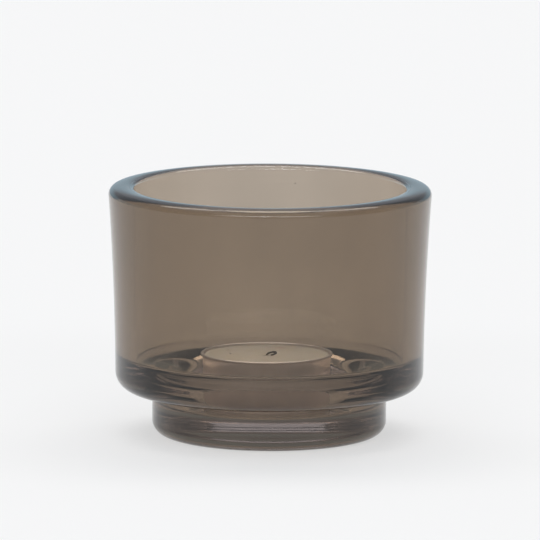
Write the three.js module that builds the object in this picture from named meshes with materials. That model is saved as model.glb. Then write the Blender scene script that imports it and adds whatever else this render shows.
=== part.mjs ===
import * as THREE from 'three';

// Glass candle holder with a tealight in its well.
// Millimetres, +Z up. The origin is the centre of the foot, on the surface that it stands on.

// Tealight: a candle in a drawn aluminium cup.
const cupRimRadius = 19.25;
const cupBaseRadius = 18.4;
const cupHeight = 16.2;
const cupSheet = 0.3;
const cupBaseCorner = 1.1;
const cupBeadRadius = 0.42;
const cupPadRadius = 8;
const cupPadRise = 0.5;
const cupPadSlope = 0.6;

// Candle: wax, wick and the tin disc that holds the wick upright.
const candleClearance = 0.3;
const waxBelowRim = 0.9;
const waxCorner = 0.8;
const waxMeniscusRise = 0.35;
const waxMeniscusWidth = 1.2;
const wickRadius = 0.4;
const wickArch = 0.9;
const wickCrest = 1.5;
const wickReach = 4.4;
const wickTipReach = 1.4;
const wickTipForward = 1.2;
const wickTipHeight = 0.65;
const sustainerRadius = 6.5;
const sustainerSheet = 0.3;
const sustainerNeckHeight = 3;
const sustainerNeckFillet = 0.5;

// Where the tealight stands: loose in the well, a little to one side.
const tealightShift = -0.8;
const wellPlay = 4.45;
const tealightStandOut = 1.7;

// Pressed glass: thicknesses, widths and depths, from the foot up and the well outwards.
const puntRadius = 24;
const puntDepth = 1.2;
const floorThickness = 7.2;
const footWall = 10.5;
const footCorner = 4.2;
const footHeight = 13.2;
const footFillet = 0.6;
const wellFillet = 1;
const ledgeRoundWidth = 10;
const ledgeRoundDepth = 5.7;
const ledgeSlopeWidth = 4.3;
const ledgeSlopeFall = 1.2;
const cavityFillet = 1;
const cavityDraft = 0.5;
const bowlDepth = 50.1;
const wallAtLedge = 6;
const bodyCorner = 5.4;
const sideBow = 0.4;
const lipRounding = 1.2;
const rimFlatWidth = 4.2;
const rimRounding = 2.2;

// Fineness of the turned and swept forms: sides round the axis, and steps along a curve.
const glassSides = 72;
const candleSides = 48;
const sustainerSides = 32;
const wickSides = 10;
const wickSteps = 44;
const broadSteps = 6;
const smallSteps = 3;

// Sizes that follow from the ones above.
const wellRadius = cupRimRadius + wellPlay;
const wellFloor = puntDepth + floorThickness;
const ledgeHeight = wellFloor + cupHeight - tealightStandOut;
const ledgeInnerRadius = wellRadius + ledgeRoundWidth;
const cavityRadius = ledgeInnerRadius + ledgeSlopeWidth + cavityFillet;
const mouthRadius = cavityRadius + cavityDraft;
const holderHeight = ledgeHeight + bowlDepth;
const rimRadius = mouthRadius + lipRounding + rimFlatWidth + rimRounding;
const bodyRadius = cavityRadius + wallAtLedge;
const footRadius = wellRadius + footWall;
const padTop = cupPadRise + cupSheet;
const sustainerTop = padTop + sustainerSheet;
const neckTop = padTop + sustainerNeckHeight;
const wickBore = wickRadius + candleClearance;
const neckRadius = wickBore + sustainerSheet;
const waxTop = cupHeight - waxBelowRim;

// Radius of the arc that rises by a sag over a half width.
function arcRadius(halfWidth, sag) {
  return (halfWidth * halfWidth + sag * sag) / (2 * sag);
}

function at(radius, height) {
  return new THREE.Vector2(radius, height);
}

// Points of an elliptical arc in a profile, with its angles in quarter turns.
function arc(centre, width, depth, startQuarter, endQuarter, steps) {
  const start = startQuarter * Math.PI / 2;
  const end = endQuarter * Math.PI / 2;
  const clockwise = end < start;
  const curve = new THREE.EllipseCurve(centre.x, centre.y, width, depth, start, end, clockwise);
  return curve.getPoints(steps);
}

function roundArc(centre, radius, startQuarter, endQuarter, steps) {
  return arc(centre, radius, radius, startQuarter, endQuarter, steps);
}

// Turns a profile of radius and height about the Z axis.
function revolve(profile, sides) {
  const geometry = new THREE.LatheGeometry(profile, sides);
  geometry.rotateX(Math.PI / 2);
  return geometry;
}

function makeMesh(name, geometry, color, roughness, metalness) {
  const material = new THREE.MeshStandardMaterial({ color, roughness, metalness });
  const mesh = new THREE.Mesh(geometry, material);
  mesh.name = name;
  return mesh;
}

// Underside and foot of the glass, from the axis out to the body.
function footProfile() {
  const dome = arcRadius(puntRadius, puntDepth);
  const domeEdge = 1 - Math.asin(puntRadius / dome) / (Math.PI / 2);
  return [
    ...roundArc(at(0, puntDepth - dome), dome, 1, domeEdge, smallSteps),
    ...roundArc(at(footRadius - footCorner, footCorner), footCorner, -1, 0, broadSteps),
    ...roundArc(at(footRadius + footFillet, footHeight - footFillet), footFillet, 2, 1, smallSteps),
  ];
}

// Outer side of the body, from its lower corner up over the rim and into the mouth.
function bodyProfile() {
  const sideStart = at(bodyRadius, footHeight + bodyCorner);
  const sideEnd = at(rimRadius, holderHeight - rimRounding);
  const sidePull = sideStart.clone().lerp(sideEnd, 0.5);
  sidePull.x -= 2 * sideBow;
  const side = new THREE.QuadraticBezierCurve(sideStart, sidePull, sideEnd);
  return [
    ...roundArc(at(bodyRadius - bodyCorner, sideStart.y), bodyCorner, -1, 0, broadSteps),
    ...side.getPoints(broadSteps).slice(1, -1),
    ...roundArc(at(rimRadius - rimRounding, sideEnd.y), rimRounding, 0, 1, broadSteps),
    ...roundArc(at(mouthRadius + lipRounding, holderHeight - lipRounding), lipRounding, 1, 2, smallSteps),
  ];
}

// Cavity, ledge and well of the glass, from the mouth down to the axis.
function cavityProfile() {
  const fillet = at(cavityRadius - cavityFillet, ledgeHeight + cavityFillet);
  const ledgeCurve = at(ledgeInnerRadius, ledgeHeight - ledgeSlopeFall - ledgeRoundDepth);
  return [
    ...roundArc(fillet, cavityFillet, 0, -1, smallSteps),
    ...arc(ledgeCurve, ledgeRoundWidth, ledgeRoundDepth, 1, 2, broadSteps),
    ...roundArc(at(wellRadius - wellFillet, wellFloor + wellFillet), wellFillet, 0, -1, smallSteps),
    at(0, wellFloor),
  ];
}

function makeGlassHolder() {
  const profile = [...footProfile(), ...bodyProfile(), ...cavityProfile()];
  return makeMesh('glass_holder', revolve(profile, glassSides), 0x82786a, 0.05, 0);
}

// Thin cup with a raised pad in its floor and a bead rolled outwards along its rim.
function makeTealightCup() {
  const bead = at(cupRimRadius - cupBeadRadius, cupHeight - cupBeadRadius);
  const beadStart = -1 - Math.asin((cupBeadRadius - cupSheet) / cupBeadRadius) / (Math.PI / 2);
  const corner = at(cupBaseRadius - cupBaseCorner, cupBaseCorner);
  const profile = [
    at(0, cupPadRise),
    at(cupPadRadius, cupPadRise),
    at(cupPadRadius + cupPadSlope, 0),
    ...roundArc(corner, cupBaseCorner, -1, 0, smallSteps),
    ...roundArc(bead, cupBeadRadius, beadStart, 2, broadSteps + smallSteps),
    ...roundArc(corner, cupBaseCorner - cupSheet, 0, -1, smallSteps),
    at(cupPadRadius + cupPadSlope, cupSheet),
    at(cupPadRadius, padTop),
    at(0, padTop),
  ];
  return makeMesh('tealight_cup', revolve(profile, candleSides), 0xb9b4b0, 0.35, 1);
}

// Inner radius of the cup's tapered wall at a height above its corner.
function cupInnerRadius(height) {
  const baseInside = cupBaseRadius - cupSheet;
  const beadInside = cupRimRadius - 2 * cupBeadRadius;
  const rise = (height - cupBaseCorner) / (cupHeight - cupBeadRadius - cupBaseCorner);
  return baseInside + (beadInside - baseInside) * rise;
}

// Wax with a bore for the wick, a seat for the disc and a raised edge where it met the cup.
function makeCandleWax() {
  const corner = at(cupInnerRadius(cupBaseCorner) - candleClearance - waxCorner, cupSheet + waxCorner);
  const edgeHeight = waxTop + waxMeniscusRise;
  const edgeRadius = cupInnerRadius(edgeHeight) - candleClearance;
  const innerEdge = edgeRadius - waxMeniscusWidth;
  const seatTop = sustainerTop + candleClearance;
  const neckSeat = neckRadius + candleClearance;
  const neckSeatTop = neckTop + candleClearance;
  const meniscus = arc(at(innerEdge, edgeHeight), waxMeniscusWidth, waxMeniscusRise, 0, -1, smallSteps);
  const profile = [
    at(wickBore, waxTop),
    at(wickBore, neckSeatTop),
    at(neckSeat, neckSeatTop),
    at(neckSeat, seatTop + sustainerNeckFillet),
    at(neckSeat + sustainerNeckFillet, seatTop),
    at(sustainerRadius + candleClearance, seatTop),
    at(sustainerRadius + candleClearance, padTop + candleClearance),
    at(cupPadRadius + candleClearance, padTop + candleClearance),
    at(cupPadRadius + cupPadSlope + candleClearance, cupSheet),
    ...roundArc(corner, waxCorner, -1, 0, smallSteps),
    ...meniscus,
    at(wickBore, waxTop),
  ];
  return makeMesh('candle_wax', revolve(profile, candleSides), 0xd8cdbb, 0.45, 0);
}

// Tin disc with a neck that is crimped round the foot of the wick.
function makeWickSustainer() {
  const fillet = at(neckRadius + sustainerNeckFillet, sustainerTop + sustainerNeckFillet);
  const profile = [
    at(wickBore, padTop),
    at(sustainerRadius, padTop),
    at(sustainerRadius, sustainerTop),
    ...roundArc(fillet, sustainerNeckFillet, 3, 2, smallSteps),
    at(neckRadius, neckTop),
    at(wickBore, neckTop),
    at(wickBore, padTop),
  ];
  return makeMesh('wick_sustainer', revolve(profile, sustainerSides), 0xa8a49e, 0.4, 1);
}

// Cotton wick: upright in the wax, then bent over with its tip towards the front.
function makeCandleWick() {
  const exit = new THREE.Vector3(0, 0, waxTop);
  const route = new THREE.CurvePath();
  route.add(new THREE.LineCurve3(new THREE.Vector3(0, 0, padTop), exit));
  route.add(new THREE.CubicBezierCurve3(
    exit,
    new THREE.Vector3(0, 0, waxTop + wickArch),
    new THREE.Vector3(wickReach, 0, waxTop + wickCrest),
    new THREE.Vector3(wickTipReach, -wickTipForward, waxTop + wickTipHeight),
  ));
  const section = new THREE.Shape();
  section.absarc(0, 0, wickRadius, 0, 2 * Math.PI, false);
  const geometry = new THREE.ExtrudeGeometry(section, {
    steps: wickSteps,
    curveSegments: wickSides / 2,
    extrudePath: route,
  });
  return makeMesh('candle_wick', geometry, 0x3a2c22, 0.9, 0);
}

const candle = new THREE.Group();
candle.add(makeCandleWax(), makeCandleWick(), makeWickSustainer());

const tealight = new THREE.Group();
tealight.position.set(tealightShift, 0, wellFloor);
tealight.add(makeTealightCup(), candle);

const candleHolder = new THREE.Group();
candleHolder.add(makeGlassHolder(), tealight);

export default candleHolder;
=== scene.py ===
"""Looks of a smoke glass candle holder with a tealight standing in its well."""

import logging
import math
from dataclasses import dataclass, field
from enum import Enum

import bpy
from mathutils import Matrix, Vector


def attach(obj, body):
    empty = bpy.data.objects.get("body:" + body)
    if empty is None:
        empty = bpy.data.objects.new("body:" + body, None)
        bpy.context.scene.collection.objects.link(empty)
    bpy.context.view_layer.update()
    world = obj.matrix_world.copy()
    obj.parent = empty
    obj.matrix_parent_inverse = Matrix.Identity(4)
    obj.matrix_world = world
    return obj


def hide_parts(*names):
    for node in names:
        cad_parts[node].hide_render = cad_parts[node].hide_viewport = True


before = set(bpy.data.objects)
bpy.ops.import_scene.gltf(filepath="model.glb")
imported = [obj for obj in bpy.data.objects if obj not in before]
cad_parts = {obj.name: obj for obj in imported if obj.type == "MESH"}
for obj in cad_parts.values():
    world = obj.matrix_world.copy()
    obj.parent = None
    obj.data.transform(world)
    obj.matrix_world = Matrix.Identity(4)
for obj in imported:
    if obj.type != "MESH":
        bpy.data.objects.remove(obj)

log = logging.getLogger("candle_holder")

# A millimetre in metres.
MM = 0.001
# Points of an outline that are closer than this are one, in millimetres.
SAME_POINT = 1e-5
# A straight run has a point this close to each end, unless it is short, in millimetres.
HOLD = 0.12
SHORT_RUN = 8 * HOLD
# A quarter turn in radians.
QUARTER = math.pi / 2
# Where nearly all values of a noise pattern lie.
SPREAD = (0.3, 0.7)

Triple = tuple[float, float, float]
Colour = Triple
Point = tuple[float, float]
Socket = bpy.types.NodeSocket
Material = bpy.types.Material
Piece = bpy.types.Object


class Body(Enum):
    """The bodies that the pieces ride on."""

    HOLDER = "holder"
    TEALIGHT = "tealight"
    CANDLE = "candle"


class Part(Enum):
    """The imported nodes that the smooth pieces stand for."""

    GLASS = "glass_holder"
    CUP = "tealight_cup"
    WAX = "candle_wax"
    WICK = "candle_wick"
    SUSTAINER = "wick_sustainer"


class Slot(Enum):
    """The record's material slots."""

    GLASS = "smoke_glass"
    CUP = "cup_aluminium"
    WAX = "candle_wax"
    WICK = "wick_cotton"
    SUSTAINER = "sustainer_tin"


class Turn(Enum):
    """Directions round a profile's arc, in quarter turns from outwards."""

    DOWN = -1
    OUT = 0
    UP = 1
    IN = 2
    UNDER = 3


@dataclass
class Outline:
    """A turned piece's profile in millimetres, drawn from its lowest point at the axis.

    Attributes:
        points: radius and height of each point so far.
    """

    points: list[Point] = field(default_factory=list)

    def to(self, radius: float, height: float) -> "Outline":
        """Adds a corner.

        Args:
            radius: distance from the axis.
            height: height above the table.

        Returns:
            The outline itself, so that calls can follow each other.
        """
        if not self.points or math.dist(self.points[-1], (radius, height)) > SAME_POINT:
            self.points.append((radius, height))
        return self

    def straight(self, radius: float, height: float) -> None:
        """Adds a straight run, with a close point near each end that keeps its shading flat.

        Args:
            radius: the end's distance from the axis.
            height: the end's height above the table.
        """
        if self.points:
            start = self.points[-1]
            length = math.dist(start, (radius, height))
            if length > SHORT_RUN:
                for share in (HOLD / length, 1 - HOLD / length):
                    near = 1 - share
                    self.to(near * start[0] + share * radius, near * start[1] + share * height)
        self.to(radius, height)

    def arc(
        self, centre: Point, width: float, depth: float, start: float, end: float, steps: int
    ) -> None:
        """Adds an elliptical arc.

        Args:
            centre: radius and height of the arc's centre.
            width: half width of the ellipse.
            depth: half height of the ellipse.
            start: where the arc starts, in quarter turns.
            end: where it ends, in quarter turns.
            steps: number of straight steps.
        """
        for step in range(steps + 1):
            angle = (start + (end - start) * step / steps) * QUARTER
            radius = centre[0] + width * math.cos(angle)
            height = centre[1] + depth * math.sin(angle)
            if step == 0:
                self.straight(radius, height)
            else:
                self.to(radius, height)

    def round(self, centre: Point, radius: float, start: Turn, end: Turn, steps: int) -> None:
        """Adds a circular arc from one of the four directions to another."""
        self.arc(centre, radius, radius, start.value, end.value, steps)

    def bow(self, pull: Point, end: Point, steps: int) -> None:
        """Adds a gentle curve that is pulled towards a point.

        Args:
            pull: the point that the curve leans towards.
            end: where the curve ends.
            steps: number of straight steps.
        """
        start = self.points[-1]
        for step in range(1, steps + 1):
            t = step / steps
            near, middle, far = (1 - t) ** 2, 2 * t * (1 - t), t * t
            self.to(
                near * start[0] + middle * pull[0] + far * end[0],
                near * start[1] + middle * pull[1] + far * end[1],
            )


def close(weld: float) -> None:
    """Joins the points of the mesh in edit mode that lie close, and turns its faces outwards.

    Args:
        weld: how close they lie, in millimetres.
    """
    bpy.ops.mesh.select_all(action="SELECT")
    bpy.ops.mesh.remove_doubles(threshold=weld * MM)
    bpy.ops.mesh.normals_make_consistent(inside=False)
    bpy.ops.object.mode_set(mode="OBJECT")


class Lathe:
    """Turns outlines into closed smooth pieces.

    Attributes:
        WELD: points closer than this are joined, in millimetres.
        BEND: edges that bend more than this stay sharp, in degrees.
    """

    WELD = 0.004
    BEND = 30.0

    @staticmethod
    def turn(
        name: str, outline: Outline, sides: int, axis: Point = (0.0, 0.0), base: float = 0.0
    ) -> Piece:
        """Draws the outline from one vertex and spins it round an upright axis.

        Args:
            name: the piece's name.
            outline: the profile, in millimetres.
            sides: number of steps round the axis.
            axis: where the axis stands, in millimetres.
            base: height of the outline's zero above the table, in millimetres.

        Returns:
            The closed, smooth piece, with its object at the origin.
        """
        first, *rest = outline.points
        bpy.ops.object.select_all(action="DESELECT")
        bpy.ops.mesh.primitive_plane_add(size=MM, location=(0, 0, 0))
        piece = bpy.context.active_object
        piece.name = name
        piece.data.name = name
        bpy.ops.object.mode_set(mode="EDIT")
        bpy.ops.mesh.select_all(action="SELECT")
        bpy.ops.mesh.merge(type="CENTER")
        start = ((axis[0] + first[0]) * MM, axis[1] * MM, (base + first[1]) * MM)
        bpy.ops.transform.translate(value=start)
        here = first
        for there in rest:
            step = ((there[0] - here[0]) * MM, 0.0, (there[1] - here[1]) * MM)
            bpy.ops.mesh.extrude_vertices_move(TRANSFORM_OT_translate={"value": step})
            here = there
        bpy.ops.mesh.select_all(action="SELECT")
        bpy.ops.mesh.spin(
            steps=sides,
            angle=2 * math.pi,
            center=(axis[0] * MM, axis[1] * MM, 0),
            axis=(0, 0, 1),
        )
        close(Lathe.WELD)
        bpy.ops.object.shade_smooth_by_angle(angle=math.radians(Lathe.BEND))
        return piece


@dataclass(frozen=True)
class Pattern:
    """A noise pattern.

    Attributes:
        scale: patches per metre.
        detail: how many finer layers it has.
        stretch: factor on the coordinates along each axis, if they are stretched.
    """

    scale: float
    detail: float = 2.0
    stretch: Triple | None = None


class Bench:
    """A material's or world's node tree, with short calls to add and join nodes."""

    def __init__(self, tree: bpy.types.NodeTree) -> None:
        """Keeps the tree that the nodes go into."""
        self.tree = tree

    def add(self, kind: str, inputs: dict | None = None, **settings: object) -> bpy.types.Node:
        """Adds a node.

        Args:
            kind: the node's type name.
            inputs: values, or sockets to join, by input name or number.
            settings: the node's own settings.

        Returns:
            The new node.
        """
        node = self.tree.nodes.new(kind)
        for key, value in settings.items():
            setattr(node, key, value)
        for key, value in (inputs or {}).items():
            if isinstance(value, Socket):
                self.tree.links.new(value, node.inputs[key])
            else:
                node.inputs[key].default_value = value
        return node

    def math(self, operation: str, first: object, second: object = 0.0) -> Socket:
        """Adds a Math node on values or sockets, and gives its result."""
        return self.add("ShaderNodeMath", {0: first, 1: second}, operation=operation).outputs[0]

    def span(
        self, value: object, low: float, high: float, first: float = 0.0, last: float = 1.0
    ) -> Socket:
        """Maps low to high onto first to last, held at both ends."""
        inputs = {0: value, 1: low, 2: high, 3: first, 4: last}
        return self.add("ShaderNodeMapRange", inputs).outputs[0]

    def mix(self, factor: object, first: object, second: object) -> Socket:
        """Mixes two colours by the share of the second, and gives the mixture."""
        values = {0: factor, 6: self.opaque(first), 7: self.opaque(second)}
        return self.add("ShaderNodeMix", values, data_type="RGBA").outputs[2]

    def noise(self, place: object, pattern: Pattern) -> Socket:
        """Adds a noise pattern.

        Args:
            place: socket of the coordinates.
            pattern: its size and stretch.

        Returns:
            The pattern's socket, from 0 to 1.
        """
        if pattern.stretch is not None:
            place = self.stretched(place, pattern.stretch)
        inputs = {"Vector": place, "Scale": pattern.scale, "Detail": pattern.detail}
        return self.add("ShaderNodeTexNoise", inputs).outputs[0]

    def place(self) -> Socket:
        """Returns the socket of the piece's own coordinates, in metres."""
        return self.add("ShaderNodeTexCoord").outputs["Object"]

    def height(self, place: object) -> Socket:
        """Gives the height above the table, in metres."""
        return self.add("ShaderNodeSeparateXYZ", {0: place}).outputs[2]

    def stretched(self, place: object, scale: Triple) -> Socket:
        """Stretches coordinates by a factor along each axis."""
        return self.add("ShaderNodeMapping", {"Vector": place, "Scale": scale}).outputs[0]

    def radius(self, place: object, axis: Point) -> Socket:
        """Measures the distance from an upright axis.

        Args:
            place: socket of the coordinates.
            axis: where the axis stands, in millimetres.

        Returns:
            The distance's socket, in metres.
        """
        moved = (-axis[0] * MM, -axis[1] * MM, 0.0)
        flat = self.add(
            "ShaderNodeMapping", {"Vector": place, "Location": moved, "Scale": (1, 1, 0)}
        )
        length = self.add("ShaderNodeVectorMath", {0: flat.outputs[0]}, operation="LENGTH")
        return length.outputs["Value"]

    def bump(self, height: object, distance: float, below: object | None = None) -> Socket:
        """Adds a bump.

        Args:
            height: socket of the pattern.
            distance: height of the pattern, in metres.
            below: socket of the bump beneath, if there is one.

        Returns:
            The normal's socket.
        """
        inputs = {"Strength": 1.0, "Distance": distance, "Height": height}
        if below is not None:
            inputs["Normal"] = below
        return self.add("ShaderNodeBump", inputs).outputs[0]

    @staticmethod
    def opaque(colour: object) -> object:
        """Gives a plain colour its fourth channel, and a socket as it is."""
        return (*colour, 1.0) if isinstance(colour, tuple) else colour


class Finish:
    """A material with one Principled shader.

    In the finishes that use it, each depth is the height of its pattern in metres.
    """

    def __init__(self, name: str, **values: object) -> None:
        """Makes the material.

        Args:
            name: the material's name.
            values: the shader's plain values, by input name with _ for spaces.
        """
        self.material = bpy.data.materials.new(name)
        self.material.use_nodes = True
        self.bench = Bench(self.material.node_tree)
        self.shader = self.material.node_tree.nodes["Principled BSDF"]
        for key, value in values.items():
            self.shader.inputs[key.replace("_", " ")].default_value = value

    def feed(self, name: str, socket: Socket) -> None:
        """Joins a pattern to one of the shader's inputs."""
        self.bench.tree.links.new(socket, self.shader.inputs[name])


@dataclass(frozen=True)
class SmokeGlass:
    """Pressed glass with a brown-grey smoke tint in its outer skin, faint in its depth.

    Attributes:
        skin: share of light that one upright passage of the outer skin lets through.
        clear: tint of the inside, which has none.
        depth: colour that thick glass turns towards.
        density: how fast it does so, per metre.
        clouds: the skin's soft unevenness.
        uneven: how much the tint varies in it.
        longest: how much further the flattest rays run through the skin than upright ones.
        lean: how fast the run grows with the slant, for entering and for leaving rays.
        seeds: how densely the tiny specks in the skin may lie, per metre.
        seed_size: their size, as a share of their spacing.
        waves: the skin's soft waves.
        ripple: height of the waves, in metres.
        calm: heights above the table over which the waves set in, in millimetres.
    """

    skin: Colour = (0.50, 0.43, 0.35)
    clear: Colour = (1.0, 1.0, 1.0)
    depth: Colour = (0.36, 0.31, 0.42)
    density: float = 13.0
    clouds: Pattern = Pattern(34.0, 3.0, (1.0, 1.0, 0.45))
    uneven: float = 0.14
    longest: float = 1.34
    lean: Point = (1.25, 3.8)
    seeds: float = 170.0
    seed_size: float = 0.04
    seed_share: float = 0.75
    seed_tint: Colour = (0.02, 0.018, 0.015)
    waves: Pattern = Pattern(90.0, 1.0, (1.0, 1.0, 0.5))
    ripple: float = 0.000008
    calm: Point = (2.0, 6.0)

    def tint(self, bench: Bench, place: Socket) -> Socket:
        """Colours the outer skin: softly uneven, deeper for slanting rays, with a few specks.

        Args:
            bench: the material's nodes.
            place: socket of the coordinates.

        Returns:
            The tint's socket.
        """
        pale, dark = (
            tuple(share * share * (1 + side * self.uneven) for share in self.skin)
            for side in (1, -1)
        )
        upright = bench.mix(bench.span(bench.noise(place, self.clouds), *SPREAD), pale, dark)
        facing = bench.add("ShaderNodeLayerWeight", {"Blend": 0.5}).outputs["Facing"]
        leaving = bench.add("ShaderNodeNewGeometry").outputs["Backfacing"]
        slant = bench.math("MULTIPLY", facing, bench.span(leaving, 0.0, 1.0, *self.lean))
        oblique = tuple(share ** (2 * self.longest) for share in self.skin)
        skin = bench.mix(bench.span(slant, 0.0, 1.0), upright, oblique)
        cells = {"Vector": place, "Scale": self.seeds}
        near = bench.add("ShaderNodeTexVoronoi", cells).outputs["Distance"]
        speck = bench.math("LESS_THAN", near, self.seed_size)
        return bench.mix(bench.math("MULTIPLY", speck, self.seed_share), skin, self.seed_tint)

    def material(self, bowl: Point, well: Point) -> Material:
        """Makes the material, with the tint and the waves on the outside alone.

        Args:
            bowl: a radius outside the bowl's hollow and a height below it, in millimetres.
            well: a radius outside the well and a height below it, in millimetres.

        Returns:
            The material.
        """
        finish = Finish("pressed_smoke_glass", Transmission_Weight=1.0, Roughness=0.0, IOR=1.5)
        bench = finish.bench
        place = bench.place()
        radius = bench.radius(place, (0.0, 0.0))
        height = bench.height(place)
        hollows = [
            bench.math(
                "MULTIPLY",
                bench.math("LESS_THAN", radius, reach * MM),
                bench.math("GREATER_THAN", height, below * MM),
            )
            for reach, below in (bowl, well)
        ]
        inside = bench.math("MAXIMUM", *hollows)
        finish.feed("Base Color", bench.mix(inside, self.tint(bench, place), self.clear))
        outside = bench.math("SUBTRACT", 1.0, inside)
        set_in = bench.span(height, *(level * MM for level in self.calm))
        strength = bench.math("MULTIPLY", outside, set_in)
        waves = bench.math("MULTIPLY", bench.noise(place, self.waves), strength)
        finish.feed("Normal", bench.bump(waves, self.ripple))
        absorb = {"Color": (*self.depth, 1.0), "Density": self.density}
        body = bench.add("ShaderNodeVolumeAbsorption", absorb).outputs[0]
        bench.tree.links.new(body, bench.tree.nodes["Material Output"].inputs["Volume"])
        return finish.material


@dataclass(frozen=True)
class CupAluminium:
    """Thin drawn aluminium: satin, with upright draw marks, soft dents and fine rings.

    Attributes:
        colour: the bare metal, with a warm pink tint that is a painted reflection.
        dull: the metal where it is scuffed, with the same painted pink reflection.
        scuffs: where it is scuffed.
        scuffed: values of that pattern over which the metal turns dull.
        draws: the upright draw marks.
        dents: the soft dents.
        rings: how close the turned rings lie, in radians per metre.
    """

    # The pink in both metal colours is a painted reflection; the metal under it is grey.
    colour: Colour = (0.95, 0.90, 0.885)
    dull: Colour = (0.87, 0.81, 0.795)
    roughness: Point = (0.36, 0.46)
    scuffs: Pattern = Pattern(330.0, 4.0, (1.0, 1.0, 0.8))
    scuffed: Point = (0.35, 0.7)
    draws: Pattern = Pattern(1500.0, 2.0, (1.0, 1.0, 0.05))
    draw_depth: float = 0.000004
    dents: Pattern = Pattern(190.0, 3.0)
    dent_depth: float = 0.00012
    rings: float = 9000.0
    ring_depth: float = 0.0000006

    def material(self, axis: Point) -> Material:
        """Makes the material.

        Args:
            axis: where the cup's axis stands, in millimetres.

        Returns:
            The material.
        """
        finish = Finish("drawn_aluminium", Metallic=1.0)
        bench = finish.bench
        place = bench.place()
        scuffs = bench.noise(place, self.scuffs)
        scuffed = bench.span(scuffs, *self.scuffed)
        finish.feed("Base Color", bench.mix(scuffed, self.colour, self.dull))
        finish.feed("Roughness", bench.span(scuffs, *SPREAD, *self.roughness))
        round_axis = bench.math("MULTIPLY", bench.radius(place, axis), self.rings)
        dented = bench.bump(bench.noise(place, self.dents), self.dent_depth)
        drawn = bench.bump(bench.noise(place, self.draws), self.draw_depth, dented)
        rings = bench.math("SINE", round_axis)
        finish.feed("Normal", bench.bump(rings, self.ring_depth, drawn))
        return finish.material


@dataclass(frozen=True)
class Paraffin:
    """Off-white candle wax, a little translucent, with a mottled top.

    deepened, speckled and wick_foot_patchy are the values of their patterns over which they set in.

    Attributes:
        colour: the wax.
        deep: the wax in its thin and hollow places.
        patches: where it is deep.
        grain: its fine darker grain.
        specks: where the grain lies.
        grain_share: how strongly the grain shows.
        wick_foot_dark: the darker colour that the wax turns round the wick's foot.
        wick_foot_patches: where that darkening is strong.
        wick_foot_reach: distances from the axis over which it fades out, in metres.
        swells: the top's soft swells.
        pores: its fine pores.
    """

    colour: Colour = (0.93, 0.89, 0.80)
    deep: Colour = (0.86, 0.80, 0.69)
    patches: Pattern = Pattern(160.0, 3.0)
    deepened: Point = (0.35, 0.7)
    grain: Colour = (0.84, 0.78, 0.66)
    specks: Pattern = Pattern(2300.0)
    speckled: Point = (0.4, 0.65)
    grain_share: float = 0.6
    wick_foot_dark: Colour = (0.42, 0.36, 0.28)
    wick_foot_patches: Pattern = Pattern(1400.0)
    wick_foot_patchy: Point = (0.45, 0.6)
    wick_foot_reach: Point = (0.0006, 0.0019)
    roughness: Point = (0.36, 0.55)
    swells: Pattern = Pattern(220.0)
    swell_depth: float = 0.00015
    pores: Pattern = Pattern(2600.0)
    pore_depth: float = 0.000012

    def material(self, axis: Point) -> Material:
        """Makes the material.

        Args:
            axis: where the candle's axis stands, in millimetres.

        Returns:
            The material.
        """
        finish = Finish(
            "paraffin",
            IOR=1.44,
            Subsurface_Weight=0.35,
            Subsurface_Radius=(1.0, 0.8, 0.6),
            Subsurface_Scale=0.0015,
        )
        bench = finish.bench
        place = bench.place()
        patches = bench.noise(place, self.patches)
        cloudy = bench.mix(bench.span(patches, *self.deepened), self.colour, self.deep)
        specks = bench.noise(place, self.specks)
        grainy = bench.span(specks, *self.speckled, 0.0, self.grain_share)
        mottled = bench.mix(grainy, cloudy, self.grain)
        # The wax turns darker round the wick's foot, in patches of random strength.
        near = bench.span(bench.radius(place, axis), *self.wick_foot_reach, 1.0, 0.0)
        heavy = bench.span(bench.noise(place, self.wick_foot_patches), *self.wick_foot_patchy, 0.5, 1.0)
        wick_foot_darkening = bench.math("MULTIPLY", near, heavy)
        finish.feed("Base Color", bench.mix(wick_foot_darkening, mottled, self.wick_foot_dark))
        finish.feed("Roughness", bench.span(patches, *SPREAD, *self.roughness))
        swells = bench.bump(bench.noise(place, self.swells), self.swell_depth)
        pores = bench.bump(bench.noise(place, self.pores), self.pore_depth, swells)
        finish.feed("Normal", pores)
        return finish.material


@dataclass(frozen=True)
class CharredCotton:
    """Braided cotton, waxed and pale below and charred towards its tip.

    Attributes:
        cotton: the waxed cotton.
        char: the burnt end.
        burnt: heights above the wax over which it turns to char, in millimetres.
        uneven: how much that height varies from fibre to fibre.
    """

    cotton: Colour = (0.20, 0.14, 0.075)
    char: Colour = (0.035, 0.022, 0.012)
    burnt: Point = (-0.4, 0.7)
    uneven: float = 0.2
    fibres: Pattern = Pattern(5200.0, 3.0, (1.0, 1.0, 0.3))
    fibre_depth: float = 0.00006

    def material(self, surface: float) -> Material:
        """Makes the material.

        Args:
            surface: height of the wax round the wick, in millimetres.

        Returns:
            The material.
        """
        finish = Finish("charred_cotton", Roughness=0.9, Sheen_Weight=0.25, Sheen_Roughness=0.6)
        bench = finish.bench
        place = bench.place()
        fibres = bench.noise(place, self.fibres)
        rise = bench.span(bench.height(place), *((surface + level) * MM for level in self.burnt))
        uneven = bench.span(fibres, *SPREAD, -self.uneven, self.uneven)
        charred = bench.span(bench.math("ADD", rise, uneven), 0.0, 1.0)
        finish.feed("Base Color", bench.mix(charred, self.cotton, self.char))
        finish.feed("Normal", bench.bump(fibres, self.fibre_depth))
        return finish.material


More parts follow.
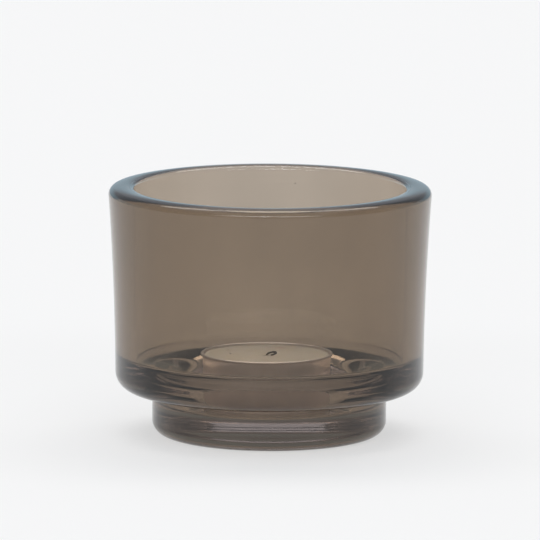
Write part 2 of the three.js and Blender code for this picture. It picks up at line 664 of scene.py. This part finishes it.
@dataclass(frozen=True)
class TinnedSheet:
    """Plain tinned sheet with a faint rolling grain.

    Attributes:
        colour: the tin.
        worn: the tin along the grain.
        grain: the rolling grain.
    """

    colour: Colour = (0.68, 0.67, 0.65)
    worn: Colour = (0.56, 0.55, 0.53)
    roughness: Point = (0.30, 0.46)
    grain: Pattern = Pattern(4200.0, 2.0, (0.08, 1.0, 1.0))
    grain_depth: float = 0.000006

    def material(self) -> Material:
        """Makes the material.

        Returns:
            The material.
        """
        finish = Finish("tinned_sheet", Metallic=1.0)
        bench = finish.bench
        grain = bench.noise(bench.place(), self.grain)
        finish.feed("Base Color", bench.mix(bench.span(grain, *SPREAD), self.colour, self.worn))
        finish.feed("Roughness", bench.span(grain, *SPREAD, *self.roughness))
        finish.feed("Normal", bench.bump(grain, self.grain_depth))
        return finish.material


def dress(piece: Piece, material: Material, body: Body, part: Part) -> Piece:
    """Gives a finished piece its material, its body and the node that it stands for.

    Args:
        piece: the piece.
        material: its finish.
        body: the body that it rides on.
        part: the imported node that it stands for.

    Returns:
        The piece.
    """
    piece.data.materials.clear()
    piece.data.materials.append(material)
    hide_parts(part.value)
    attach(piece, body.value)
    return piece


@dataclass
class GlassHolder:
    """The pressed glass: foot, body, bowl, ledge and well, in millimetres.

    Attributes:
        punt_radius: radius of the hollow under the foot.
        side_bow: how far the body's side is drawn in.
        rim_crown: radius of the rim's slightly domed top.
        cavity_radius: radius of the bowl's inside above the ledge.
        ledge_slope_fall: how far the ledge falls towards the well.
        skin_gap: how far outside the lip the tinted skin begins.
        skin_drop: how far below the well's floor it begins there.
        sides: steps round the axis.
    """

    punt_radius: float = 24.0
    punt_depth: float = 1.2
    foot_radius: float = 34.2
    foot_corner: float = 4.2
    foot_height: float = 13.2
    foot_fillet: float = 0.6
    body_radius: float = 45.0
    body_corner: float = 5.4
    side_bow: float = 0.4
    height: float = 73.0
    rim_radius: float = 47.1
    rim_rounding: float = 2.2
    rim_crown: float = 12.0
    mouth_radius: float = 39.5
    lip_rounding: float = 1.2
    cavity_radius: float = 39.0
    cavity_fillet: float = 1.0
    ledge_height: float = 22.9
    ledge_slope_fall: float = 1.2
    ledge_round_width: float = 10.0
    ledge_round_depth: float = 5.7
    well_radius: float = 23.7
    well_fillet: float = 1.0
    well_floor: float = 8.4
    skin_gap: float = 0.1
    skin_drop: float = 2.0
    sides: int = 256

    def draw_foot(self, shape: Outline) -> None:
        """Draws the hollow under the foot, the foot and the step above it.

        Args:
            shape: the outline that they are added to.
        """
        dome = (self.punt_radius**2 + self.punt_depth**2) / (2 * self.punt_depth)
        edge = 1 - math.asin(self.punt_radius / dome) / QUARTER
        shape.arc((0, self.punt_depth - dome), dome, dome, 1, edge, steps=16)
        foot = (self.foot_radius - self.foot_corner, self.foot_corner)
        shape.round(foot, self.foot_corner, Turn.DOWN, Turn.OUT, steps=20)
        step = (self.foot_radius + self.foot_fillet, self.foot_height - self.foot_fillet)
        shape.round(step, self.foot_fillet, Turn.IN, Turn.UP, steps=8)

    def draw_body(self, shape: Outline) -> None:
        """Draws the body's corner and side, and the rim with its two roundings.

        Args:
            shape: the outline that they are added to.
        """
        inner = self.mouth_radius + self.lip_rounding
        outer = self.rim_radius - self.rim_rounding
        crown = ((inner + outer) / 2, self.height - self.rim_crown)
        turn_out = self.rim_crown - self.rim_rounding
        turn_in = self.rim_crown - self.lip_rounding
        lean_out = math.acos((outer - crown[0]) / turn_out)
        lean_in = math.acos((inner - crown[0]) / turn_in)
        side_start = self.foot_height + self.body_corner
        side_end = crown[1] + turn_out * math.sin(lean_out)
        lip_height = crown[1] + turn_in * math.sin(lean_in)
        corner = (self.body_radius - self.body_corner, side_start)
        shape.round(corner, self.body_corner, Turn.DOWN, Turn.OUT, steps=24)
        pull_radius = (self.body_radius + self.rim_radius) / 2 - 2 * self.side_bow
        pull = (pull_radius, (side_start + side_end) / 2)
        shape.bow(pull, (self.rim_radius, side_end), steps=24)
        rim, lip = self.rim_rounding, self.lip_rounding
        first, last = lean_out / QUARTER, lean_in / QUARTER
        shape.arc((outer, side_end), rim, rim, 0, first, steps=16)
        shape.arc(crown, self.rim_crown, self.rim_crown, first, last, steps=12)
        shape.arc((inner, lip_height), lip, lip, last, 2, steps=12)

    def draw_hollow(self, shape: Outline) -> None:
        """Draws the bowl's inside, the ledge with its shoulder and the well.

        Args:
            shape: the outline that they are added to.
        """
        fillet = (self.cavity_radius - self.cavity_fillet, self.ledge_height + self.cavity_fillet)
        shape.round(fillet, self.cavity_fillet, Turn.OUT, Turn.DOWN, steps=14)
        shoulder = (
            self.well_radius + self.ledge_round_width,
            self.ledge_height - self.ledge_slope_fall - self.ledge_round_depth,
        )
        shape.arc(shoulder, self.ledge_round_width, self.ledge_round_depth, 1, 2, steps=28)
        pocket = (self.well_radius - self.well_fillet, self.well_floor + self.well_fillet)
        shape.round(pocket, self.well_fillet, Turn.OUT, Turn.DOWN, steps=10)
        shape.straight(0, self.well_floor)

    def build(self, glass: SmokeGlass) -> Piece:
        """Turns and dresses the glass.

        Args:
            glass: its finish.

        Returns:
            The piece.
        """
        shape = Outline()
        self.draw_foot(shape)
        self.draw_body(shape)
        self.draw_hollow(shape)
        piece = Lathe.turn("smoke_glass_holder", shape, self.sides)
        bowl = (
            self.mouth_radius + self.lip_rounding + self.skin_gap,
            (self.foot_height + self.ledge_height - self.ledge_round_depth) / 2,
        )
        well = ((self.well_radius + self.foot_radius) / 2, self.well_floor - self.skin_drop)
        return dress(piece, glass.material(bowl, well), Body.HOLDER, Part.GLASS)


@dataclass
class TealightCup:
    """The drawn cup with its rolled rim and stepped floor, in millimetres.

    Attributes:
        axis: where the cup stands.
        base: height of its underside above the table.
        bead: radius of the rim's roll.
        pad_radius: radius of the raised pad in its floor.
        pad_slope: width of the pad's sloping edge.
        pad_lip: width of the rounding above that slope.
        pad_toe: width of the rounding below the slope.
        ring_radius: radius of the ring embossed in the floor.
        ring_width: half the width of that ring.
        ring_margin: flat run on each side of it.
        sides: steps round the axis.
    """

    axis: Point = (-0.8, 0.0)
    base: float = 8.44
    rim_radius: float = 19.25
    base_radius: float = 18.4
    height: float = 16.2
    sheet: float = 0.3
    corner: float = 1.1
    bead: float = 0.42
    pad_radius: float = 8.0
    pad_rise: float = 0.5
    pad_slope: float = 0.6
    pad_lip: float = 0.2
    pad_lip_drop: float = 0.06
    pad_toe: float = 0.1
    pad_toe_rise: float = 0.05
    ring_radius: float = 13.2
    ring_width: float = 0.5
    ring_rise: float = 0.16
    ring_margin: float = 0.2
    sides: int = 160

    @property
    def pad_top(self) -> float:
        """Gives the height of the pad's upper side above the cup's underside."""
        return self.pad_rise + self.sheet

    def outline(self) -> Outline:
        """Draws the cup's outside from its floor up, over the rim and down the inside.

        Returns:
            The outline.
        """
        bead = (self.rim_radius - self.bead, self.height - self.bead)
        bead_start = -1 - math.asin((self.bead - self.sheet) / self.bead) / QUARTER
        corner = (self.base_radius - self.corner, self.corner)
        pad_foot = self.pad_radius + self.pad_slope
        shape = Outline()
        shape.to(0, self.pad_rise).to(self.pad_radius - self.pad_lip, self.pad_rise)
        shape.to(self.pad_radius, self.pad_rise - self.pad_lip_drop)
        shape.to(pad_foot - self.pad_toe, self.pad_toe_rise).to(pad_foot, 0)
        shape.to(self.ring_radius - self.ring_width - self.ring_margin, 0)
        shape.arc((self.ring_radius, 0.0), self.ring_width, self.ring_rise, 2, 0, steps=10)
        shape.to(self.ring_radius + self.ring_width + self.ring_margin, 0)
        shape.round(corner, self.corner, Turn.DOWN, Turn.OUT, steps=12)
        shape.arc(bead, self.bead, self.bead, bead_start, 2, steps=22)
        shape.round(corner, self.corner - self.sheet, Turn.OUT, Turn.DOWN, steps=10)
        shape.to(pad_foot, self.sheet).to(self.pad_radius, self.pad_top)
        return shape.to(0, self.pad_top)

    def inside(self, height: float) -> float:
        """Gives the inner radius of the tapered wall.

        Args:
            height: height above the cup's underside.

        Returns:
            The radius.
        """
        low = self.base_radius - self.sheet
        high = self.rim_radius - 2 * self.bead
        rise = (height - self.corner) / (self.height - self.bead - self.corner)
        return low + (high - low) * rise

    def turn(self, name: str, outline: Outline, sides: int) -> Piece:
        """Turns an outline round the cup's axis, from its underside up."""
        return Lathe.turn(name, outline, sides, self.axis, self.base)

    def build(self, metal: CupAluminium) -> Piece:
        """Turns the cup and dresses it in its metal."""
        piece = self.turn("drawn_cup", self.outline(), self.sides)
        return dress(piece, metal.material(self.axis), Body.TEALIGHT, Part.CUP)


@dataclass
class Candle:
    """Wax, wick and wick disc, which lift out of the cup together, in millimetres.

    Attributes:
        cup: the cup that the candle was cast in.
        clearance: gap between the wax and what it surrounds.
        dimple_radius: radius of the shallow dimple round the wick.
        collar_gap: gap between the braid and the wax that holds it.
        collar_rise: how far the wax climbs up the braid.
        grip_depth: how far down the wax holds the braid.
        flare_depth: how far down the bore has its full width.
        wick_radius: radius of the wick that the bore is made for.
        braid_radius: radius of the braid itself.
        wick_steps: steps along each of the wick's two stretches.
        wick_arch: the point to which the wick first rises, beside its way out of the wax.
        wick_reach: the point to which it then bends over, from the same place.
        wick_tip: where it ends, from the same place.
        strand_share: a strand's thickness as a share of the braid's.
        weave_turn: how fast the strands wind, in radians per millimetre.
        weave_depth: depth of the weave as a share of its width.
        strand_weld: points of a strand closer than this are joined.
        strand_bend: edges that bend more than this stay sharp, in degrees.
    """

    cup: TealightCup
    clearance: float = 0.3
    wax_top: float = 15.3
    wax_corner: float = 0.8
    meniscus_rise: float = 0.35
    meniscus_width: float = 1.2
    dimple_radius: float = 3.2
    dimple_depth: float = 0.14
    dimple_steps: int = 9
    collar_gap: float = 0.02
    collar_rise: float = 0.12
    collar_width: float = 0.12
    collar_foot: float = 0.02
    grip_depth: float = 1.0
    flare_depth: float = 1.6
    wax_sides: int = 128
    wick_radius: float = 0.4
    braid_radius: float = 0.31
    wick_arch: Triple = (0.6, 0.0, 1.35)
    wick_reach: Triple = (4.9, -0.9, 1.3)
    wick_tip: Triple = (1.3, -2.4, 0.35)
    wick_steps: int = 44
    strands: int = 3
    strand_share: float = 0.52
    weave_turn: float = 2.6
    weave_depth: float = 0.7
    strand_weld: float = 0.001
    strand_bend: float = 60.0
    disc_radius: float = 6.5
    disc_sheet: float = 0.3
    disc_edge: float = 0.08
    neck_height: float = 3.0
    neck_fillet: float = 0.5
    neck_edge: float = 0.05
    neck_steps: int = 8
    disc_sides: int = 96

    def draw_seat(self, shape: Outline) -> None:
        """Draws the wax's underside, with its bore for the wick and its seat for the disc.

        Args:
            shape: the outline that they are added to.
        """
        gap = self.clearance
        sheet, pad_top = self.cup.sheet, self.cup.pad_top
        bore = self.wick_radius + gap
        neck = bore + self.disc_sheet + gap
        seat_top = pad_top + self.disc_sheet + gap
        neck_top = pad_top + self.neck_height + gap
        shape.to(bore, self.wax_top - self.flare_depth)
        shape.to(bore, neck_top).to(neck, neck_top)
        shape.to(neck, seat_top + self.neck_fillet).to(neck + self.neck_fillet, seat_top)
        shape.to(self.disc_radius + gap, seat_top).to(self.disc_radius + gap, pad_top + gap)
        shape.to(self.cup.pad_radius + gap, pad_top + gap)
        shape.to(self.cup.pad_radius + self.cup.pad_slope + gap, sheet)
        foot_radius = self.cup.inside(self.cup.corner) - gap - self.wax_corner
        foot = (foot_radius, sheet + self.wax_corner)
        shape.round(foot, self.wax_corner, Turn.DOWN, Turn.OUT, steps=10)

    def wax_outline(self) -> Outline:
        """Draws the wax from its collar down the bore, round its underside and over its top.

        Returns:
            The outline, closed on itself.
        """
        top = self.wax_top
        hollow = top - self.dimple_depth
        edge = top + self.meniscus_rise
        edge_radius = self.cup.inside(edge) - self.clearance
        bore = self.wick_radius + self.clearance
        collar = (self.braid_radius + self.collar_gap, hollow + self.collar_rise)
        shape = Outline()
        shape.to(*collar).to(collar[0], top - self.grip_depth)
        self.draw_seat(shape)
        brim = (edge_radius - self.meniscus_width, edge)
        shape.arc(brim, self.meniscus_width, self.meniscus_rise, 0, -1, steps=12)
        shape.to(self.dimple_radius * 2, top)
        for step in range(1, self.dimple_steps):
            share = step / self.dimple_steps
            sink = self.dimple_depth * (1 - math.cos(share * math.pi)) / 2
            shape.to(self.dimple_radius * (1 - share) + bore * share, top - sink)
        shape.to(collar[0] + self.collar_width, hollow + self.collar_foot)
        return shape.to(*collar)

    def build_wax(self, wax: Paraffin) -> Piece:
        """Turns the wax and dresses it."""
        piece = self.cup.turn("wax_fill", self.wax_outline(), self.wax_sides)
        return dress(piece, wax.material(self.cup.axis), Body.CANDLE, Part.WAX)

    def wick_route(self) -> list[Vector]:
        """Follows the wick from its disc up through the wax and over to its tip.

        Returns:
            Points along the wick, in millimetres.
        """
        steps = self.wick_steps
        home = Vector((*self.cup.axis, self.cup.base))
        start = Vector((0, 0, self.cup.pad_top + self.disc_sheet))
        out = Vector((0, 0, self.wax_top))
        arch, reach, tip = (
            Vector((right, back, self.wax_top + up))
            for right, back, up in (self.wick_arch, self.wick_reach, self.wick_tip)
        )
        route = [home + start.lerp(out, step / steps) for step in range(steps)]
        for step in range(steps + 1):
            t = step / steps
            bend = out * (1 - t) ** 3 + arch * 3 * t * (1 - t) ** 2
            route.append(home + bend + reach * 3 * t * t * (1 - t) + tip * t**3)
        return route

    def strand_line(self, route: list[Vector], phase: float) -> list[Vector]:
        """Winds one strand to and fro along the wick.

        Args:
            route: points along the wick, in millimetres.
            phase: how far the strand is ahead of the first, in radians.

        Returns:
            Points along the strand, in millimetres.
        """
        swing = self.braid_radius - self.braid_radius * self.strand_share
        line = []
        along = 0.0
        for index, here in enumerate(route):
            before = route[max(index - 1, 0)]
            ahead = route[min(index + 1, len(route) - 1)] - before
            along += (here - before).length
            across = Vector((0, 1, 0)).cross(ahead).normalized()
            beside = ahead.normalized().cross(across)
            turn = along * self.weave_turn + phase
            weave = across * math.cos(turn) * swing
            weave += beside * math.sin(2 * turn) * swing * self.weave_depth
            line.append(here + weave)
        return line

    def build_strand(self, line: list[Vector]) -> Piece:
        """Draws one strand as a closed tube.

        Args:
            line: points along the strand, in millimetres.

        Returns:
            The strand.
        """
        bpy.ops.object.select_all(action="DESELECT")
        bpy.ops.curve.primitive_nurbs_path_add(location=(0, 0, 0))
        curve = bpy.context.active_object.data
        spline = curve.splines[0]
        spline.points.add(len(line) - len(spline.points))
        for point, place in zip(spline.points, line):
            point.co = (*(place * MM), 1.0)
        spline.use_endpoint_u = True
        spline.order_u = 3
        curve.bevel_depth = self.braid_radius * self.strand_share * MM
        curve.bevel_resolution = 3
        curve.resolution_u = 2
        curve.use_fill_caps = True
        bpy.ops.object.convert(target="MESH")
        bpy.ops.object.mode_set(mode="EDIT")
        close(self.strand_weld)
        return bpy.context.active_object

    def build_wick(self, cotton: CharredCotton) -> Piece:
        """Braids the strands along the wick's route and dresses them.

        Args:
            cotton: their finish.

        Returns:
            The piece.
        """
        route = self.wick_route()
        strands = [
            self.build_strand(self.strand_line(route, number * 2 * math.pi / self.strands))
            for number in range(self.strands)
        ]
        bpy.ops.object.select_all(action="DESELECT")
        for strand in strands:
            strand.select_set(True)
        bpy.context.view_layer.objects.active = strands[0]
        bpy.ops.object.join()
        wick = bpy.context.active_object
        wick.name = "braided_wick"
        wick.data.name = "braided_wick"
        bpy.ops.object.shade_smooth_by_angle(angle=math.radians(self.strand_bend))
        surface = self.cup.base + self.wax_top
        return dress(wick, cotton.material(surface), Body.CANDLE, Part.WICK)

    def disc_outline(self) -> Outline:
        """Draws the wick disc with the neck that grips the wick.

        Returns:
            The outline, closed on itself.
        """
        base = self.cup.pad_top
        top = base + self.disc_sheet
        crown = base + self.neck_height
        bore = self.wick_radius + self.clearance
        neck = bore + self.disc_sheet
        fillet, edge, lip = self.neck_fillet, self.disc_edge, self.neck_edge
        shape = Outline()
        shape.to(bore, base).to(self.disc_radius - edge, base)
        shape.to(self.disc_radius, base + edge).to(self.disc_radius, top - edge)
        shape.to(self.disc_radius - edge, top)
        shape.round((neck + fillet, top + fillet), fillet, Turn.UNDER, Turn.IN, steps=8)
        for step in range(1, self.neck_steps):
            shape.to(neck, top + fillet + (crown - top - fillet) * step / self.neck_steps)
        return shape.to(neck, crown - lip).to(neck - lip, crown).to(bore, crown).to(bore, base)

    def build_disc(self, tin: TinnedSheet) -> Piece:
        """Turns the wick disc and dresses it in its tin."""
        piece = self.cup.turn("wick_disc", self.disc_outline(), self.disc_sides)
        return dress(piece, tin.material(), Body.CANDLE, Part.SUSTAINER)


class Glow(Enum):
    """Lights of the soft walls and ceiling."""

    COOL = (0.55, 0.69, 0.78)
    SOFT = (0.46, 0.48, 0.52)
    DIM = (0.30, 0.30, 0.30)
    WIDE = (0.81, 0.84, 0.88)


Stops = tuple[tuple[float, Glow], ...]


@dataclass(frozen=True)
class Softbox:
    """A large soft lamp, sized in degrees as it looks from the object.

    Attributes:
        light: its colour and strength.
        lean: how far it hangs behind straight above, or in front if negative.
        width: how wide it looks.
        length: how long it looks from side to side.
        blur: half the width of its soft edge.
    """

    light: Colour
    lean: float
    width: float
    length: float
    blur: float = 1.0

    def patch(self, bench: Bench, way: Socket) -> Socket:
        """Marks the directions in which the lamp hangs.

        Args:
            bench: the world's nodes.
            way: socket of the direction.

        Returns:
            A socket that is 1 on the lamp and 0 beside it.
        """
        lean = math.radians(self.lean)
        towards = (0.0, math.sin(lean), math.cos(lean))
        short = bench.stretched(way, (self.width / self.length, 1.0, 1.0))
        short = bench.add("ShaderNodeVectorMath", {0: short}, operation="NORMALIZE").outputs[0]
        facing = bench.add("ShaderNodeVectorMath", {0: short, 1: towards}, operation="DOT_PRODUCT")
        edge = math.cos(math.radians(self.width / 2 + self.blur))
        inner = math.cos(math.radians(self.width / 2 - self.blur))
        return bench.span(facing.outputs["Value"], edge, inner)


@dataclass
class Studio:
    """Pale table, soft dome of light and the camera, in metres.

    Attributes:
        pale: the table's brightness.
        even: share of it that shadows leave alone.
        table_gap: gap between the table and the foot.
        lamp_above: the lamp above and a little behind.
        lamp_before: the lamp in front.
        back_wall: height from 0 to 1 and light of each stop of the wall behind.
        front_wall: the same for the wall in front.
        corner: how far back the one wall turns into the other, from -1 to 1.
        distance: from the camera to the object.
        elevation: how far the camera looks down, in degrees.
        roll: how far it leans over, in degrees.
        aim: the point that it looks at.
        picture: width of what it sees there.
    """

    pale: float = 0.913
    even: float = 0.6
    table_size: float = 6.0
    table_gap: float = 0.0003
    lamp_above: Softbox = Softbox((4.0, 3.9, 3.8), 25.0, 24.0, 76.0)
    lamp_before: Softbox = Softbox((6.0, 6.2, 6.4), -62.0, 9.0, 90.0)
    back_wall: Stops = (
        (0.0, Glow.COOL),
        (0.585, Glow.COOL),
        (0.635, Glow.SOFT),
        (0.86, Glow.SOFT),
        (0.9, Glow.WIDE),
    )
    front_wall: Stops = ((0.0, Glow.DIM), (0.85, Glow.DIM), (0.9, Glow.WIDE))
    corner: Point = (-0.1, 0.3)
    distance: float = 3.0
    elevation: float = 9.2
    roll: float = 0.26
    aim: Triple = (0.00006, 0.0, 0.0482)
    picture: float = 0.15743
    sensor: float = 36.0
    far: float = 100.0

    def table(self) -> None:
        """Lays the pale table.

        Camera, mirror and glass rays see it partly lit by itself, so that it stays evenly pale
        and keeps a soft shadow.
        """
        bpy.ops.object.select_all(action="DESELECT")
        here = (0, 0, -self.table_gap)
        bpy.ops.mesh.primitive_plane_add(size=self.table_size, location=here)
        table = bpy.context.active_object
        table.name = "table"
        pale = (self.pale, self.pale, self.pale, 1.0)
        finish = Finish("pale_table", Base_Color=pale, Roughness=0.8, Specular_IOR_Level=0.0)
        bench = finish.bench
        paths = bench.add("ShaderNodeLightPath").outputs
        mirrored = bench.math("MAXIMUM", paths["Is Glossy Ray"], paths["Is Transmission Ray"])
        seen = bench.math("MAXIMUM", paths["Is Camera Ray"], mirrored)
        share = bench.math("MULTIPLY", seen, self.even)
        glow = bench.add("ShaderNodeEmission", {"Color": pale}).outputs[0]
        both = bench.add("ShaderNodeMixShader", {0: share, 1: finish.shader.outputs[0], 2: glow})
        bench.tree.links.new(both.outputs[0], bench.tree.nodes["Material Output"].inputs["Surface"])
        table.data.materials.append(finish.material)

    def dome(self) -> None:
        """Hangs the soft light: a wide pale ceiling, two lamps, and walls that are dimmer."""
        world = bpy.data.worlds.new("soft_studio")
        bpy.context.scene.world = world
        world.use_nodes = True
        bench = Bench(world.node_tree)
        way = bench.add("ShaderNodeTexCoord").outputs["Generated"]
        sides = bench.add("ShaderNodeSeparateXYZ", {0: way}).outputs
        back = self.gradient(bench, sides[2], self.back_wall)
        front = self.gradient(bench, sides[2], self.front_wall)
        lit = bench.mix(bench.span(sides[1], *self.corner), front, back)
        for lamp in (self.lamp_above, self.lamp_before):
            lit = bench.mix(lamp.patch(bench, way), lit, lamp.light)
        bench.tree.links.new(lit, bench.tree.nodes["Background"].inputs[0])

    @staticmethod
    def gradient(bench: Bench, height: Socket, stops: Stops) -> Socket:
        """Colours a wall by how high a direction points.

        Args:
            bench: the world's nodes.
            height: socket of the direction's upward share, from -1 to 1.
            stops: height from 0 to 1 and light of each stop.

        Returns:
            The colour's socket.
        """
        node = bench.add("ShaderNodeValToRGB", {0: bench.span(height, -1.0, 1.0)})
        ramp = node.color_ramp
        while len(ramp.elements) < len(stops):
            ramp.elements.new(0.5)
        for element, (position, glow) in zip(ramp.elements, stops):
            element.position = position
            element.color = (*glow.value, 1.0)
        return node.outputs[0]

    def camera(self) -> None:
        """Places the camera far off and a little above, as in the photograph."""
        tilt = math.radians(self.elevation)
        away = Vector((0.0, -math.cos(tilt), math.sin(tilt))) * self.distance
        bpy.ops.object.select_all(action="DESELECT")
        bpy.ops.object.camera_add(location=Vector(self.aim) + away)
        camera = bpy.context.active_object
        camera.rotation_euler = (math.pi / 2 - tilt, 0.0, 0.0)
        camera.rotation_euler.rotate_axis("Z", math.radians(self.roll))
        camera.data.sensor_width = self.sensor
        camera.data.lens = self.sensor * self.distance / self.picture
        camera.data.clip_end = self.far
        bpy.context.scene.camera = camera

    def build(self) -> None:
        """Sets up table, light, camera and plain colour handling."""
        self.table()
        self.dome()
        self.camera()
        bpy.context.scene.view_settings.view_transform = "Standard"


def main() -> None:
    """Builds the studio and every piece in order, and reports each one."""
    logging.basicConfig(level=logging.INFO, format="%(name)s: %(message)s")
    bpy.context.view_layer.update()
    Studio().build()
    log.info("studio: pale table, soft dome and camera")
    cup = TealightCup()
    candle = Candle(cup)
    made = [
        GlassHolder().build(SmokeGlass()),
        cup.build(CupAluminium()),
        candle.build_wax(Paraffin()),
        candle.build_wick(CharredCotton()),
        candle.build_disc(TinnedSheet()),
    ]
    for piece in made:
        log.info("%s: %d faces", piece.name, len(piece.data.polygons))


if __name__ == "__main__":
    main()
